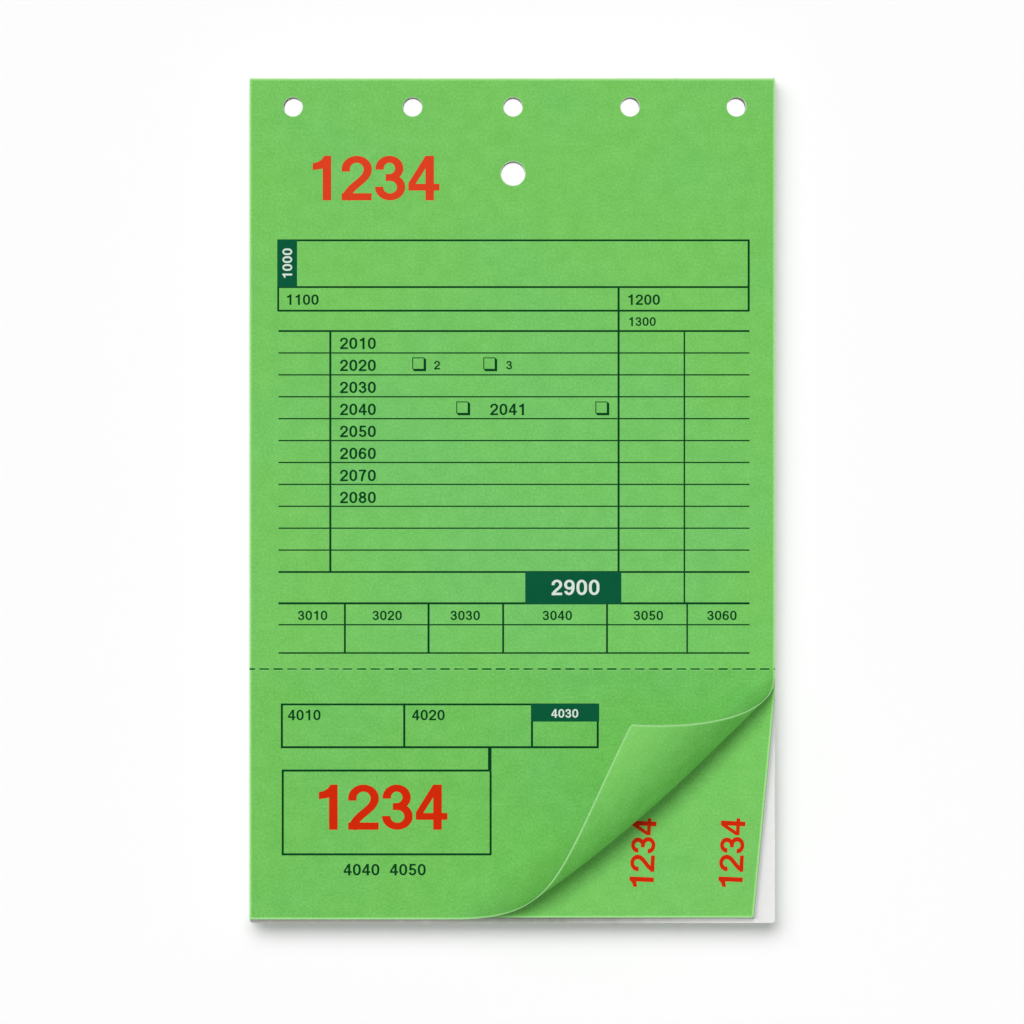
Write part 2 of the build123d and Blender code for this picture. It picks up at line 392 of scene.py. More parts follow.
def paper_finish(name, colours, settings, uv_map=None, torn=True, trimmed=False, shadowed=None):
    """Uncoated paper in the colours of its body and its clouds, with paler fibres and a painted highlight
    along its cut edges.

    Where a corner is rolled, given by the start of its fold and the way out to it, a painted shade makes
    the paper a deeper green along the bend.
    """
    material, place = new_finish(name, uv_map)
    across = place.node("SeparateXYZ", {}, {0: place})
    along = across.twin(1)
    flat_place = place.node("CombineXYZ", {}, {0: across, 1: along})
    clouds = noise(flat_place, CLOUD_SIZE)
    formation = noise(flat_place, FORMATION_SIZE, 4.0)
    grain = noise(flat_place, GRAIN_SIZE, 3.0)
    level_fibres = noise(flat_place, FIBRE_SIZE, stretch=(FIBRE_STRETCH, 1.0, 1.0))
    fibres = level_fibres + noise(flat_place, FIBRE_SIZE, stretch=(1.0, FIBRE_STRETCH, 1.0))
    from_middle = flat_place.vector("DISTANCE", (0.0, 0.0, 0.0), "Value")
    bluer = clouds * CLOUD_SHARE + from_middle.fall(*MIDDLE_REACH) * MIDDLE_SHARE + BLUE_BASE
    body = mixed(bluer.clamped(), *colours)
    if shadowed:
        fold_start, fold_out = shadowed
        past_start = flat_place.vector("SUBTRACT", (*fold_start.xy, 0.0))
        past_fold = past_start.vector("DOT_PRODUCT", fold_out, "Value")
        # Painted shade: deeper green near the fold, paler towards the turned corner
        body = mixed(past_fold.fall(*BEND_REACH), body, settings.bend_shade_colour)
    mottle = formation * FORMATION_SHARE + grain * GRAIN_SHARE
    body = mixed((mottle * PALE_SHARE + PALE_BASE).most(0.0), body, settings.fibres_and_highlight_colour)
    body = scaled(body, 1.0 + mottle * MOTTLE_SHADE + fibres * FIBRE_SHADE)

    foot_y = TAG_FOOT_Y if trimmed else FOOT_Y
    nearest = (HALF_WIDTH - abs(across)).least(HEAD_Y - along).least(along - foot_y)
    if trimmed:
        slope = settings.trim_depth / settings.trim_length
        past_trim = (foot_y + settings.trim_length - along).most(0.0) * slope
        nearest = nearest.least(HALF_WIDTH - across - past_trim)
    # Paler rims of fibres and painted highlight along the cut edges, and round the punched holes below
    rim = nearest.fall(settings.edge_width * RIM_START, settings.edge_width) * (CUT_RIM_SHARE + grain)
    wall = 0.0
    for x, y, radius in PUNCHED_HOLES:
        outwards = flat_place.vector("DISTANCE", (x, y, 0.0), "Value") - radius
        rim = rim.most(outwards.fall(0.0, settings.punched_width) * (PUNCHED_RIM_SHARE + grain))
        wall = outwards.fall(*WALL_REACH) + wall
    body = mixed(rim.clamped(), body, settings.fibres_and_highlight_colour)
    body = mixed(wall, body, settings.punched_colour)
    body = mixed(nearest.fall(*WALL_REACH), body, settings.cut_colour)
    if torn:
        off_row = across - settings.slit_offset
        half_pitch, half_length = settings.slit_pitch / 2, settings.slit_length / 2
        off_slit = abs(off_row.maths("WRAP", off_row, half_pitch, -half_pitch))
        slit_ends = off_slit.fall(half_length, half_length + SLIT_END_REACH)
        beside = abs(along - TEAR_Y) - settings.slit_width / 2
        body = mixed(slit_ends * beside.fall(*BURR_REACH) * BURR_SHARE, body, settings.fibres_and_highlight_colour)
        # Painted shadow in the closed slits, patchy along the row
        slit_shadow = (noise(flat_place, SLIT_SHADOW_SIZE, 1.0) * SLIT_SHADOW_SPREAD + SLIT_SHADOW_SHARE).least(1.0)
        body = mixed(slit_ends * beside.fall(*SLIT_SHADOW_REACH) * slit_shadow, body, settings.slit_shadow_colour)
    roughness = PAPER_ROUGHNESS + formation * ROUGHER_FORMATION
    surface(body, roughness, grain + fibres * RAISED_FIBRES, PAPER_RELIEF)
    return material


def card_finish(settings):
    """Smooth white card with a faint felt mark, and a painted shadow greying it along its foot, fading
    towards the right.
    """
    material, place = new_finish("white_card")
    felt = noise(place, FELT_SIZE, 3.0)
    grain = noise(place, CARD_GRAIN_SIZE)
    body = mixed((felt + 0.5).least(1.0), settings.card_colour, settings.felt_colour)
    across = place.node("SeparateXYZ", {}, {0: place})
    from_foot = across.twin(1) - CARD_FOOT_Y
    # Painted shadow of the leaves along the card's foot edge, fading towards the right
    foot_shadow = from_foot.fall(*SHADOW_UP) * across.fall(*SHADOW_ACROSS) * (1.0 + felt)
    body = mixed(foot_shadow.least(1.0), body, settings.card_shadow_colour)
    body = scaled(body, 1.0 + grain * CARD_GRAIN_SHADE)
    roughness = CARD_ROUGHNESS + felt * ROUGHER_FELT
    surface(body, roughness, grain + felt, CARD_RELIEF, specular=MATT_SPECULAR)
    return material


def board_finish(settings):
    """Grey chipboard: pressed layers, flecks of fibre and a coarse grain."""
    material, place = new_finish("grey_board")
    flecks = noise(place, FLECK_SIZE, 4.0)
    long_flecks = noise(place, LONG_FLECK_SIZE, 3.0, (LONG_FLECK_STRETCH, 1.0, 1.0))
    layers = stripes(place, LAYER_PITCH)
    share = flecks * FLECK_SHARE + long_flecks * LONG_FLECK_SHARE + layers * LAYER_SHARE + FLECK_BASE
    body = mixed(share.clamped(), settings.board_colour, settings.board_fleck_colour)
    roughness = BOARD_ROUGHNESS + flecks * ROUGHER_FLECKS
    surface(body, roughness, flecks + long_flecks, COARSE_RELIEF, COARSE_STRENGTH)
    return material


def gum_finish(settings):
    """Dried milky gum, brushed along the head and wrinkled where it grips each leaf."""
    material, place = new_finish("clear_gum")
    brushed = noise(place, BRUSH_SIZE, 3.0, (BRUSH_STRETCH, 1.0, 1.0))
    pooled = noise(place, POOL_SIZE)
    leaves = stripes(place, LEAF_PITCH)
    share = pooled * POOL_SHARE + leaves * LEAF_SHARE + POOL_BASE
    body = mixed(share.clamped(), settings.gum_colour, settings.pooled_gum_colour)
    roughness = GUM_ROUGHNESS + brushed * ROUGHER_BRUSHING
    height = brushed + leaves * LEAF_RELIEF
    surface(body, roughness, height, COARSE_RELIEF, COARSE_STRENGTH, GUM_SPECULAR)
    return material


def ink_finish(name, colour, spread):
    """Offset ink: slightly starved where the paper is rough."""
    material, place = new_finish(name)
    starved = noise(place, STARVED_SIZE, 3.0)
    uneven = noise(place, UNEVEN_SIZE)
    body = mixed((uneven + 0.5).clamped(), colour, [level * (1 + spread) for level in colour])
    body = scaled(body, 1.0 + starved * spread)
    roughness = INK_ROUGHNESS + starved * ROUGHER_STARVED
    surface(body, roughness, starved, INK_RELIEF, INK_STRENGTH, MATT_SPECULAR)
    return material


# ---------------------------------------------------------------- modelling helpers


def down(millimetres):
    """Y of a place on the sheet, measured down from the head."""
    return HEAD_Y - millimetres * MM


def pick(*pieces):
    """Select these objects alone, the first of them active."""
    bpy.ops.object.select_all(action="DESELECT")
    for piece in pieces:
        piece.select_set(True)
    bpy.context.view_layer.objects.active = pieces[0]


def dress(piece, finish):
    """Give a piece one finish alone."""
    piece.data.materials.clear()
    piece.data.materials.append(finish)


def apply_modifier(piece, kind, **settings):
    """Add a modifier, set it up and apply it."""
    pick(piece)
    modifier = piece.modifiers.new(kind.lower(), kind)
    for name, value in settings.items():
        setattr(modifier, name, value)
    bpy.ops.object.modifier_apply(modifier=modifier.name)


def unite(piece, other):
    """Make another solid one with a piece."""
    apply_modifier(piece, "BOOLEAN", operation="UNION", solver="EXACT", object=other)
    bpy.data.objects.remove(other)


def join(name, pieces):
    """One object from several."""
    pick(*pieces)
    if len(pieces) > 1:
        bpy.ops.object.join()
    piece = bpy.context.object
    piece.name = name
    piece.data.name = name
    return piece


def copy_of(piece, matrix):
    """A copy with a mesh of its own, moved by a matrix."""
    copy = piece.copy()
    copy.data = piece.data.copy()
    copy.data.transform(matrix)
    bpy.context.scene.collection.objects.link(copy)
    return copy


def slab(name, outlines, low, high):
    """A flat solid from closed outlines drawn from above. An outline inside another is a hole."""
    drawing = bpy.data.curves.new(name, "CURVE")
    drawing.dimensions = "2D"
    drawing.fill_mode = "BOTH"
    for outline in outlines:
        spline = drawing.splines.new("POLY")
        spline.points.add(len(outline) - 1)
        spline.use_cyclic_u = True
        for point, (x, y) in zip(spline.points, outline):
            point.co = (x, y, 0, 1)
    piece = bpy.data.objects.new(name, drawing)
    bpy.context.scene.collection.objects.link(piece)
    pick(piece)
    bpy.ops.object.convert(target="MESH")
    piece = bpy.context.object
    piece.data.transform(Matrix.Translation((0, 0, low)))
    bpy.ops.object.mode_set(mode="EDIT")
    bpy.ops.mesh.select_all(action="SELECT")
    bpy.ops.mesh.remove_doubles(threshold=SAME_PLACE)
    bpy.ops.mesh.extrude_region_move(TRANSFORM_OT_translate={"value": (0, 0, high - low)})
    bpy.ops.mesh.select_all(action="SELECT")
    bpy.ops.mesh.normals_make_consistent(inside=False)
    bpy.ops.object.mode_set(mode="OBJECT")
    return piece


def rectangle(left, right, top, bottom):
    """Outline of a box on the sheet, in millimetres from the middle and from the head."""
    x_low, x_high = left * MM, right * MM
    return [(x_low, down(top)), (x_high, down(top)), (x_high, down(bottom)), (x_low, down(bottom))]


# ---------------------------------------------------------------- numerals

# A bold plain numeral, a unit high
NUMERAL_WIDTH = 0.68
STEM = 0.185
BAR = 0.155
# Distance from numeral to numeral, in numeral heights
NUMERAL_PITCH = 0.80
# In a cast numeral, points this near are joined, faces this thin are removed, and faces that turn
# by no more than this angle are made one
NUMERAL_WELD, NUMERAL_SLIVER, NUMERAL_FLATNESS = 0.002, 0.0005, radians(1)


def arc(centre, radii, start, end, steps):
    """Points along an arc of an ellipse, from one angle to another in degrees."""
    count = max(2, ceil(abs(end - start) / 90 * steps))
    angles = [radians(start + (end - start) * k / count) for k in range(count + 1)]
    return [(centre[0] + radii[0] * cos(a), centre[1] + radii[1] * sin(a)) for a in angles]


def sweep(start, lead, trail, end, steps):
    """Points along a curve that leaves start towards lead and comes to end from trail."""
    points = []
    for k in range(1, 2 * steps + 1):
        t = k / (2 * steps)
        shares = ((1 - t) ** 3, 3 * t * (1 - t) ** 2, 3 * t**2 * (1 - t), t**3)
        corners = (start, lead, trail, end)
        points.append(tuple(sum(s * c[axis] for s, c in zip(shares, corners)) for axis in (0, 1)))
    return points


def stroke(line):
    """Outline of a line drawn with a square-ended pen that is wider across than along."""
    left, right = [], []
    for k, (x, y) in enumerate(line):
        before = line[max(k - 1, 0)]
        after = line[min(k + 1, len(line) - 1)]
        heading = Vector(((after[0] - before[0]) / STEM, (after[1] - before[1]) / BAR)).normalized()
        left.append((x - heading.y * STEM / 2, y + heading.x * BAR / 2))
        right.append((x + heading.y * STEM / 2, y - heading.x * BAR / 2))
    return [left + right[::-1]]


def ring(centre, radii, steps):
    """Outline and hole of a closed bowl."""
    outer = arc(centre, (radii[0] + STEM / 2, radii[1] + BAR / 2), 0, 360, steps)[:-1]
    inner = arc(centre, (radii[0] - STEM / 2, radii[1] - BAR / 2), 0, 360, steps)[:-1]
    return [outer, inner]


def block(left, low, right, high):
    return [[(left, low), (right, low), (right, high), (left, high)]]


def numeral_shapes(numeral, steps):
    """The strokes of a numeral. Each is an outline, with its hole where it has one."""
    left, right, middle = STEM / 2, NUMERAL_WIDTH - STEM / 2, NUMERAL_WIDTH / 2
    low, high = BAR / 2, 1 - BAR / 2
    bowl = middle - left
    if numeral == "0":
        top = arc((middle, 0.60), (bowl, high - 0.60), 0, 180, steps)
        foot = arc((middle, 0.40), (bowl, 0.40 - low), 180, 360, steps)
        bends = top + foot

        def widened(pen):
            wide, tall = (bowl + pen * left) / bowl, (high - 0.5 + pen * low) / (high - 0.5)
            return [(middle + (x - middle) * wide, 0.5 + (y - 0.5) * tall) for x, y in bends]

        return [[widened(1), widened(-1)]]
    if numeral == "1":
        flag_top = sweep((0.10, 0.835), (0.21, 0.85), (0.315, 0.90), (0.355, 1.0), steps)
        flag_low = sweep((0.325, 0.715), (0.26, 0.70), (0.19, 0.69), (0.10, 0.675), steps)
        stem = [(0.515, 1.0), (0.515, 0.0), (0.325, 0.0), (0.325, 0.715)]
        return [[[(0.10, 0.835), *flag_top, *stem, *flag_low]]]
    if numeral == "2":
        head = [(left, 0.645)] + arc((middle, 0.70), (bowl, high - 0.70), 180, 0, steps)
        neck = sweep((right, 0.70), (right, 0.42), (left + 0.03, 0.34), (left, 0.0), steps)
        return [stroke(head + neck), block(0.0, 0.0, NUMERAL_WIDTH - 0.005, BAR + 0.005)]
    if numeral == "3":
        waist = (0.24, 0.513)
        upper = [(left + 0.012, 0.69), *arc((0.325, 0.718), (0.22, high - 0.718), 180, -90, steps), waist]
        lower = [waist, *arc((middle, 0.295), (bowl, waist[1] - 0.295), 90, -180, steps), (left, 0.305)]
        return [stroke(upper), stroke(lower)]
    if numeral == "4":
        outside = [(0.385, 1.0), (0.0, 0.385), (0.0, 0.22), (0.385, 0.22), (0.385, 0.0), (0.575, 0.0)]
        outside += [(0.575, 0.22), (0.70, 0.22), (0.70, 0.37), (0.575, 0.37), (0.575, 1.0)]
        return [[outside, [(0.385, 0.72), (0.385, 0.37), (0.165, 0.37)]]]
    if numeral == "5":
        cheek = arc((middle, 0.325), (bowl, 0.57 - 0.325), 145, -167, steps)
        spine = [(0.185, 0.92), (0.150, 0.47)]
        return [stroke(cheek), stroke(spine), block(0.10, 1 - BAR, 0.625, 1.0)]
    if numeral in "69":
        brow = [(right - 0.02, 0.735)] + arc((0.35, 0.745), (right - 0.02 - 0.35, high - 0.745), 0, 90, steps)
        cheek = arc((0.35, 0.50), (0.35 - left, high - 0.50), 90, 180, steps)[1:] + [(left, 0.32)]
        shapes = [stroke(brow + cheek), ring((middle, 0.325), (bowl, 0.325 - low), steps)]
        if numeral == "9":
            return [
                [[(NUMERAL_WIDTH - x, 1 - y) for x, y in outline] for outline in shape]
                for shape in shapes
            ]
        return shapes
    if numeral == "7":
        leg = [(0.585, 0.92)] + sweep((0.585, 0.92), (0.40, 0.70), (0.29, 0.40), (0.275, 0.0), steps)
        return [stroke(leg), block(0.02, 1 - BAR, 0.665, 1.0)]
    if numeral == "8":
        return [
            ring((middle, 0.735), (bowl - 0.035, high - 0.735), steps),
            ring((middle, 0.299), (bowl, 0.299 - low), steps),
        ]
    raise ValueError(f"there is no numeral {numeral}")


def cast_numerals(steps):
    """Model each numeral once, a unit high and a unit thick."""
    cast = {}
    for numeral in "0123456789":
        shapes = [slab(f"numeral_{numeral}", shape, 0.0, 1.0) for shape in numeral_shapes(numeral, steps)]
        piece = shapes[0]
        for other in shapes[1:]:
            unite(piece, other)
        pick(piece)
        bpy.ops.object.mode_set(mode="EDIT")
        bpy.ops.mesh.select_all(action="SELECT")
        bpy.ops.mesh.remove_doubles(threshold=NUMERAL_WELD)
        bpy.ops.mesh.dissolve_degenerate(threshold=NUMERAL_SLIVER)
        bpy.ops.mesh.dissolve_limited(angle_limit=NUMERAL_FLATNESS)
        bpy.ops.object.mode_set(mode="OBJECT")
        cast[numeral] = piece
    return cast


def clear_cast(cast):
    for piece in cast.values():
        bpy.data.objects.remove(piece)


def set_number(cast, text, place, height, levels, pitch=NUMERAL_PITCH, turn=0.0, centred=False):
    """Copies of the numerals that make up a number, in millimetres on the sheet.

    The place is the left end of its base line, or the middle of that line where it is centred.
    """
    low, high = levels
    start = 0.0
    if centred:
        start = -((len(text) - 1) * pitch + NUMERAL_WIDTH) / 2
    seat = Matrix.Translation((place[0] * MM, down(place[1]), low)) @ Matrix.Rotation(turn, 4, "Z")
    size = Matrix.Diagonal((height * MM, height * MM, high - low, 1))
    pieces = []
    for k, numeral in enumerate(text):
        if numeral != " ":
            step = Matrix.Translation((start + k * pitch, 0, 0))
            pieces.append(copy_of(cast[numeral], seat @ size @ step))
    return pieces


# ---------------------------------------------------------------- the form's layout, in millimetres

FORM_LEFT, FORM_RIGHT, BOX_LEFT = -56.5, 57.35, -56.75
FIRST_ROW, ROW_PITCH, ROW_COUNT = 61.02, 5.294, 12
LAST_ROW = FIRST_ROW + ROW_PITCH * (ROW_COUNT - 1)
BOX_TOP, BOX_MIDDLE, BOX_FOOT = 39.09, 50.39, 56.10
GRID_TOP, GRID_FOOT = 126.83, 138.83
STUB_BOX_TOP, STUB_BOX_FOOT = 151.26, 161.61
NUMBER_BOX_TOP, NUMBER_BOX_FOOT = 167.25, 187.50
THIN, FINE, PLAIN, BOLD, TICK = 0.32, 0.38, 0.46, 0.51, 0.86
# Two upright rules that meet end to end part by twice this, under the level rule there
END_GAP = 0.05

# Level rules: height on the sheet, left end, right end, thickness
FORM_LEVEL_RULES = [
    (BOX_TOP, BOX_LEFT, FORM_RIGHT, PLAIN),
    (BOX_MIDDLE, BOX_LEFT, FORM_RIGHT, PLAIN),
    (BOX_FOOT, BOX_LEFT, FORM_RIGHT, PLAIN),
    (GRID_TOP, FORM_LEFT, FORM_RIGHT, BOLD),
    (132.00, FORM_LEFT, FORM_RIGHT, THIN),
    (GRID_FOOT, FORM_LEFT, FORM_RIGHT, FINE),
] + [
    (FIRST_ROW + ROW_PITCH * k, FORM_LEFT, FORM_RIGHT, PLAIN if k in (0, ROW_COUNT - 1) else THIN)
    for k in range(ROW_COUNT)
]
# Upright rules: place across, top, bottom, thickness
FORM_UPRIGHT_RULES = [
    (-56.57, BOX_TOP, BOX_FOOT, PLAIN),
    (57.15, BOX_TOP, BOX_FOOT, BOLD),
    (25.70, BOX_MIDDLE, LAST_ROW, BOLD),
    (-43.97, FIRST_ROW, LAST_ROW, BOLD),
    (41.60, FIRST_ROW, GRID_TOP, FINE),
    (-40.45, GRID_TOP, GRID_FOOT, PLAIN),
    (-20.23, GRID_TOP, GRID_FOOT, BOLD),
    (-2.20, GRID_TOP, GRID_FOOT, PLAIN),
    (22.91, GRID_TOP, GRID_FOOT, PLAIN),
    (42.28, GRID_TOP, GRID_FOOT, FINE),
]
STUB_LEVEL_RULES = [
    (STUB_BOX_TOP, -55.95, 20.95, PLAIN),
    (STUB_BOX_FOOT, -55.95, 20.85, BOLD),
    (NUMBER_BOX_TOP, -55.72, -5.20, BOLD),
    (NUMBER_BOX_FOOT, -55.72, -5.05, BOLD),
]
STUB_UPRIGHT_RULES = [
    (-55.68, STUB_BOX_TOP, STUB_BOX_FOOT, BOLD),
    (-26.10, STUB_BOX_TOP, STUB_BOX_FOOT, BOLD),
    (4.77, STUB_BOX_TOP, STUB_BOX_FOOT, BOLD),
    (20.66, STUB_BOX_TOP, STUB_BOX_FOOT, BOLD),
    (-5.43, STUB_BOX_FOOT, NUMBER_BOX_TOP - END_GAP, TICK),
    (-55.47, NUMBER_BOX_TOP, NUMBER_BOX_FOOT, BOLD),
    (-5.23, NUMBER_BOX_TOP + END_GAP, NUMBER_BOX_FOOT, BOLD),
]
# Solid panels: left, right, top, bottom
FORM_PANELS = [(-56.72, -52.01, 38.95, 50.40), (3.14, 26.37, 119.20, 126.95)]
STUB_PANELS = [(4.55, 21.02, 151.14, 155.42)]
CHECK_BOX_PLACES = [(-22.5, 69.06), (-5.32, 69.06), (-11.85, 79.71), (21.77, 79.71)]
CHECK_BOX_SIZE, CHECK_BOX_LINE, CHECK_BOX_SHADE = 3.35, 0.22, 0.60
CHECK_BOX_BEVEL = 0.8 * CHECK_BOX_SHADE

# Field numbers: text, left end or middle of the base line, height on the sheet, numeral height
FIELD_LEFT, FIRST_FIELD, FIELD_PITCH, FIELD_COUNT, FIELD_HEIGHT = -41.61, 65.38, 5.322, 8, 2.80
FORM_FIELDS = [
    ("1100", -54.67, 54.70, 2.55),
    ("1200", 27.82, 54.70, 2.55),
    ("1300", 28.06, 59.80, 2.15),
    ("2041", -5.32, 81.35, FIELD_HEIGHT),
    ("2", -18.87, 70.30, 2.08),
    ("3", -1.45, 70.30, 2.08),
] + [
    (str(2010 + 10 * k), FIELD_LEFT, FIRST_FIELD + FIELD_PITCH * k, FIELD_HEIGHT)
    for k in range(FIELD_COUNT)
]
FORM_MIDDLED_FIELDS = [
    (str(3010 + 10 * k), middle, 130.90, 2.30)
    for k, middle in enumerate((-48.26, -30.24, -11.37, 10.89, 32.90, 50.68))
]
STUB_FIELDS = [("4010", -54.19, 155.10, 2.55), ("4020", -24.19, 155.10, 2.55)]
STUB_MIDDLED_FIELDS = [("4040 4050", -30.84, 192.60, FIELD_HEIGHT)]
SIDE_PANEL_NUMBER = ("1000", -53.18, 44.70, 2.37)
FOOT_PANEL_NUMBER = ("2900", 15.30, 124.85, 3.75)
STUB_PANEL_NUMBER = ("4030", 12.70, 154.48, 2.10)
HEAD_NUMBER_PLACE, HEAD_NUMBER_HEIGHT = (-33.55, 29.42), 10.75
STUB_NUMBER_PLACE, STUB_NUMBER_HEIGHT = (-31.85, 181.55), 10.90
SERIAL_PITCH = 0.75
TAG_NUMBER_HEIGHT, TAG_NUMBER_PITCH, TAG_COUNT = 5.87, 0.748, 2
TAG_RIGHT, TAG_SPACING, TAG_DOWN, TAG_TURN = 56.0, 21.5, 187.58, radians(90 - 2.7)
# Cuts in a quarter turn of the printed numerals
FIELD_STEPS, SERIAL_STEPS, TAG_STEPS = 4, 10, 5
# How far the panels and the numbers on them stand above the other print, in parts of its height
PANEL_RISE, PANEL_NUMBER_RISE = 0.25, 0.75


def level_boxes(rules):
    return [rectangle(left, right, y - w / 2, y + w / 2) for y, left, right, w in rules]


def upright_boxes(rules):
    return [rectangle(x - w / 2, x + w / 2, top, bottom) for x, top, bottom, w in rules]


def check_box(place):
    """Outline and hole of a check box with a dropped shadow to its right and below it."""
    x, y = place[0] - CHECK_BOX_SIZE / 2, place[1] - CHECK_BOX_SIZE / 2
    size, line, bevel = CHECK_BOX_SIZE, CHECK_BOX_LINE, CHECK_BOX_BEVEL
    clear = size - CHECK_BOX_SHADE
    outside = [(0, 0), (clear, 0), (size, bevel), (size, size), (bevel, size), (0, clear)]
    inside = [(line, line), (clear, line), (clear, clear), (line, clear)]
    return [[((x + a) * MM, down(y + b)) for a, b in outline] for outline in (outside, inside)]


def print_ruling(name, level, upright, boxes, levels):
    """One solid from the crossing rules, with the check boxes beside them."""
    piece = slab(name, level_boxes(level), *levels)
    unite(piece, slab("upright_rules", upright_boxes(upright), *levels))
    outlines = [outline for place in boxes for outline in check_box(place)]
    if outlines:
        piece = join(name, [piece, slab("check_boxes", outlines, *levels)])
    return piece


# ---------------------------------------------------------------- operators


class PadOperator:
    """What the pad's operators share."""

    bl_options = {"REGISTER", "UNDO"}


class RECEIPT_OT_finish_leaves(PadOperator, bpy.types.Operator):
    """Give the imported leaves, the card, the board and the gum their finishes"""

    bl_idname = "receipt_pad.finish_leaves"
    bl_label = "Finish leaves and cards"

    def execute(self, context):
        paper = context.scene.receipt_pad.paper
        copy_colours = (paper.copy_colour, paper.copy_cloud_colour)
        tag_colours = (paper.tag_colour, paper.tag_cloud_colour)
        finishes = {
            "customer_copy": paper_finish("green_copy_paper", copy_colours, paper),
            "tag_copy": paper_finish("green_tag_stock", tag_colours, paper, torn=False, trimmed=True),
            "writing_shield": card_finish(paper),
            "backing_board": board_finish(paper),
            "padding_gum": gum_finish(paper),
        }
        for name, node in frame["nodes"].items():
            for start, finish in finishes.items():
                if name.startswith(start):
                    dress(node, finish)
        return {"FINISHED"}


# Rolled stub: how far before the fold its flat part ends, how much closer its cuts lie near the fold,
# and the least distance between their crossings
FLAT_MARGIN = 0.8 * MM
RING_CROWDING = 1.4
CUT_WELD = 0.02 * MM
# Gap left between the stub's tongues and the walls of the slits
HAIR_LINE = 0.02 * MM
SMOOTH_ANGLE = radians(40)
WALK_STEPS = 160


